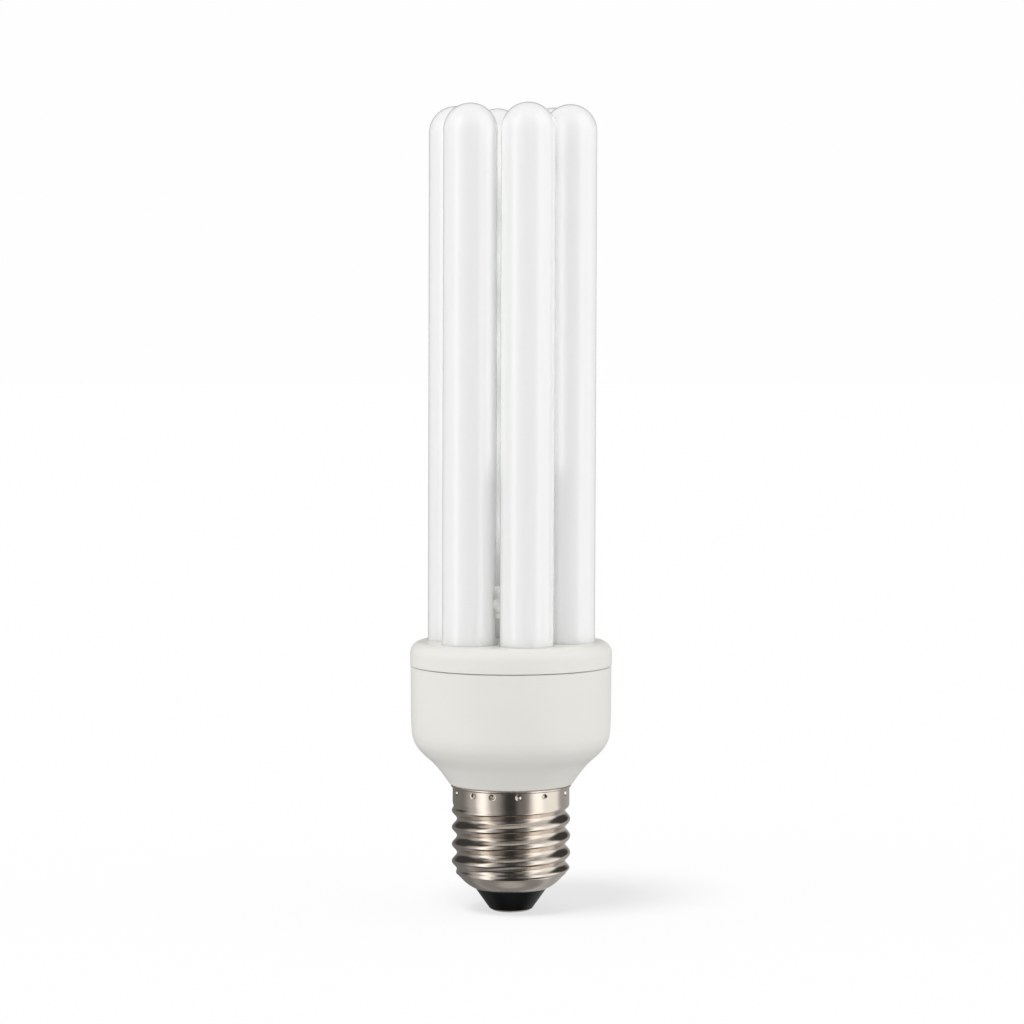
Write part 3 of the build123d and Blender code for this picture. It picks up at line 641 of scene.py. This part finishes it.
fingers = dress(make_fingers(), "coated_glass", "discharge_vessel")
low_sizes = (LOW_BRIDGE_Z, LOW_BRIDGE_R, LOW_BRIDGE_DEPTH, BRIDGE_ROOT_RISE)
make_bridges("low_bridges", LOW_BRIDGES, bridge_glass(), *low_sizes)
high_sizes = (HIGH_BRIDGE_Z, HIGH_BRIDGE_R, HIGH_BRIDGE_DEPTH, 0)
make_bridges("high_bridges", HIGH_BRIDGES, looks["coated_glass"], *high_sizes)

# Lights on the axis and between the fingers


def make_fill_lights():
    """Small lights on the lamp's axis, for the light that the white coats pass to each other."""
    for z in FILL_LIGHT_HEIGHTS:
        data = bpy.data.lights.new(f"fill_{z}", "POINT")
        data.energy = FILL_LIGHT
        data.shadow_soft_size = FILL_LIGHT_R * MM
        light = bpy.data.objects.new(f"fill_{z}", data)
        light.location = (0, 0, z * MM)
        light.visible_camera = False
        light.visible_glossy = False
        bpy.context.scene.collection.objects.link(light)


def make_gap_lights():
    """Thin upright lights in the mouths of the gaps between the fingers, which light the glass alone."""
    glass = bpy.data.collections.new("glass")
    glass.objects.link(fingers)
    for index in range(6):
        angle = radians(finger_turn(index + 0.5) - 90)
        inwards = Vector((-cos(angle), -sin(angle), 0))
        data = bpy.data.lights.new(f"gap_{index}", "AREA")
        data.shape = "RECTANGLE"
        data.size = GAP_LIGHT_WIDTH * MM
        data.size_y = (GAP_LIGHT_TOP_Z - GAP_LIGHT_LOW_Z) * MM
        data.energy = GAP_LIGHT
        light = bpy.data.objects.new(f"gap_{index}", data)
        light.location = -inwards * GAP_LIGHT_R * MM
        light.location.z = (GAP_LIGHT_TOP_Z + GAP_LIGHT_LOW_Z) / 2 * MM
        light.rotation_euler = inwards.to_track_quat("-Z", "Y").to_euler()
        light.visible_camera = False
        light.visible_glossy = False
        light.light_linking.receiver_collection = glass
        bpy.context.scene.collection.objects.link(light)


make_fill_lights()
make_gap_lights()

# Floor: white for the camera with a faint shadow, greyer for what it lights, and not there for what
# mirrors it, so that the studio's mirrored light goes on below the horizon


def mix_factor(tree, factor, first, second):
    """The first value where the factor is 0 and the second where it is 1."""
    node = add_node(tree, "ShaderNodeMix", data_type="FLOAT")
    tree.links.new(factor, node.inputs[0])
    for slot, value in ((node.inputs[2], first), (node.inputs[3], second)):
        if isinstance(value, (int, float)):
            slot.default_value = value
        else:
            tree.links.new(value, slot)
    return node.outputs[0]


def make_floor():
    size = FLOOR_HALF_WIDTH
    floor = mesh_object(
        "floor",
        [(-size, -size, 0), (size, -size, 0), (size, size, 0), (-size, size, 0)],
        [(0, 1, 2, 3)],
    )
    material, tree, shader = new_material("floor_white")
    path = add_node(tree, "ShaderNodeLightPath")
    camera_ray = path.outputs["Is Camera Ray"]
    tone = mix_factor(tree, camera_ray, FLOOR_BOUNCE, FLOOR_SHADED)
    grey = add_node(tree, "ShaderNodeCombineColor")
    for slot in grey.inputs:
        tree.links.new(tone, slot)
    tree.links.new(grey.outputs[0], shader.inputs["Base Color"])
    shader.inputs["Roughness"].default_value = 1
    shader.inputs["Specular IOR Level"].default_value = 0
    shader.inputs["Emission Color"].default_value = (1, 1, 1, 1)
    glow = mix_factor(tree, camera_ray, 0.0, FLOOR_GLOW)
    tree.links.new(glow, shader.inputs["Emission Strength"])
    clear = add_node(tree, "ShaderNodeBsdfTransparent")
    mix = add_node(tree, "ShaderNodeMixShader")
    tree.links.new(path.outputs["Is Glossy Ray"], mix.inputs[0])
    tree.links.new(shader.outputs[0], mix.inputs[1])
    tree.links.new(clear.outputs[0], mix.inputs[2])
    tree.links.new(mix.outputs[0], tree.nodes["Material Output"].inputs["Surface"])
    material.cycles.emission_sampling = "NONE"
    floor.data.materials.append(material)
    return floor


def make_floor_light(floor, shading):
    """A soft light from the left that lights the floor alone, and that only these pieces shade."""
    data = bpy.data.lights.new("floor_light", "SUN")
    data.energy = FLOOR_LIGHT
    data.angle = radians(FLOOR_LIGHT_SPREAD)
    light = bpy.data.objects.new("floor_light", data)
    light.rotation_euler = (0, radians(90 - FLOOR_LIGHT_UP), radians(FLOOR_LIGHT_TURN))
    bpy.context.scene.collection.objects.link(light)
    lit = bpy.data.collections.new("lit_by_floor_light")
    lit.objects.link(floor)
    light.light_linking.receiver_collection = lit
    shades = bpy.data.collections.new("shades_the_floor")
    for piece in shading:
        shades.objects.link(piece)
    light.light_linking.blocker_collection = shades


make_floor_light(make_floor(), [shell, insulator, contact, housing])

# Studio light: a white backdrop for the camera, a soft light for dull surfaces and soft boxes for gloss


def window(tree, value, low, high, soft):
    """1 between the two limits and 0 outside them, with soft edges."""
    up = add_node(tree, "ShaderNodeMapRange", interpolation_type="SMOOTHSTEP")
    up.inputs["From Min"].default_value = low - soft
    up.inputs["From Max"].default_value = low + soft
    down = add_node(tree, "ShaderNodeMapRange", interpolation_type="SMOOTHSTEP")
    down.inputs["From Min"].default_value = high + soft
    down.inputs["From Max"].default_value = high - soft
    tree.links.new(value, up.inputs["Value"])
    tree.links.new(value, down.inputs["Value"])
    return math_node(tree, "MULTIPLY", up.outputs[0], down.outputs[0])


def boxes(tree, azimuth, elevation, base, rows):
    """The brightness in each direction: the base and what each box adds to it."""
    light = math_node(tree, "ADD", base, 0.0)
    for low, high, side_soft, under, over, height_soft, strength in rows:
        wide = window(tree, azimuth, low, high, side_soft)
        tall = window(tree, elevation, under, over, height_soft)
        box = math_node(tree, "MULTIPLY", math_node(tree, "MULTIPLY", wide, tall), strength)
        light = math_node(tree, "ADD", light, box)
    return light


def make_world():
    world = bpy.data.worlds.new("studio")
    bpy.context.scene.world = world
    world.use_nodes = True
    tree = world.node_tree
    background = tree.nodes["Background"]
    place = add_node(tree, "ShaderNodeTexCoord")
    parts = add_node(tree, "ShaderNodeSeparateXYZ")
    tree.links.new(place.outputs["Generated"], parts.inputs[0])
    towards_camera = math_node(tree, "MULTIPLY", parts.outputs["Y"], -1)
    azimuth = math_node(tree, "ARCTAN2", parts.outputs["X"], towards_camera)
    azimuth = math_node(tree, "DEGREES", azimuth)
    elevation = math_node(tree, "DEGREES", math_node(tree, "ARCSINE", parts.outputs["Z"]))
    soft = boxes(tree, azimuth, elevation, SOFT_BASE, SOFT_BOXES)
    mirrored = boxes(tree, azimuth, elevation, MIRRORED_BASE, MIRRORED_BOXES)
    path = add_node(tree, "ShaderNodeLightPath")
    light = mix_factor(tree, path.outputs["Is Glossy Ray"], soft, mirrored)
    light = mix_factor(tree, path.outputs["Is Camera Ray"], light, BACKDROP)
    tree.links.new(light, background.inputs["Strength"])
    background.inputs["Color"].default_value = (1, 1, 1, 1)


make_world()

# Camera

camera_data = bpy.data.cameras.new("camera")
camera_data.sensor_width = CAMERA_SENSOR
camera_data.lens = CAMERA_LENS
camera_data.clip_end = 100
camera = bpy.data.objects.new("camera", camera_data)
bpy.context.scene.collection.objects.link(camera)
camera.location = (CAMERA_ASIDE * MM, -CAMERA_DISTANCE * MM, CAMERA_HEIGHT * MM)
camera.rotation_euler = (radians(90 - CAMERA_PITCH), 0, 0)
bpy.context.scene.camera = camera
bpy.context.scene.view_settings.view_transform = "Standard"
